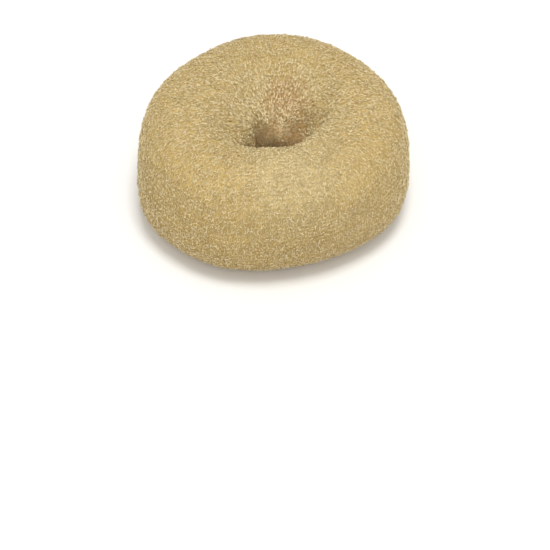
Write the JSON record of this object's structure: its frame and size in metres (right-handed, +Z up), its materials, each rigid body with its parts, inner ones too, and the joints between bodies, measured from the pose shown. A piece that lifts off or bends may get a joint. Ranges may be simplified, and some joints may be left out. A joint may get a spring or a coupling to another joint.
{
  "type": "hair donut bun maker",
  "caption": "Fat, stiff ring of rolled knitted nylon netting with a funnel-shaped, gathered hole that a ponytail is pulled through to shape a bun.",
  "frame": {"origin": "on the ring's axis, in the plane that its flat foot rests on", "axes": "+Z up along the ring's axis, out of the funnel side of the hole; -Y is the side nearest to the picture's camera"},
  "size_m": [0.0914, 0.0895, 0.0404],
  "materials": {
    "knitted_nylon": "glossy nylon monofilament, openly knitted, pale gold",
    "gathered_nylon": "glossy nylon monofilament, knitted and tightly gathered, dull gold"
  },
  "bodies": {
    "root": {"netting_ring": "knitted_nylon", "tucked_end": "gathered_nylon"}
  },
  "joints": []
}
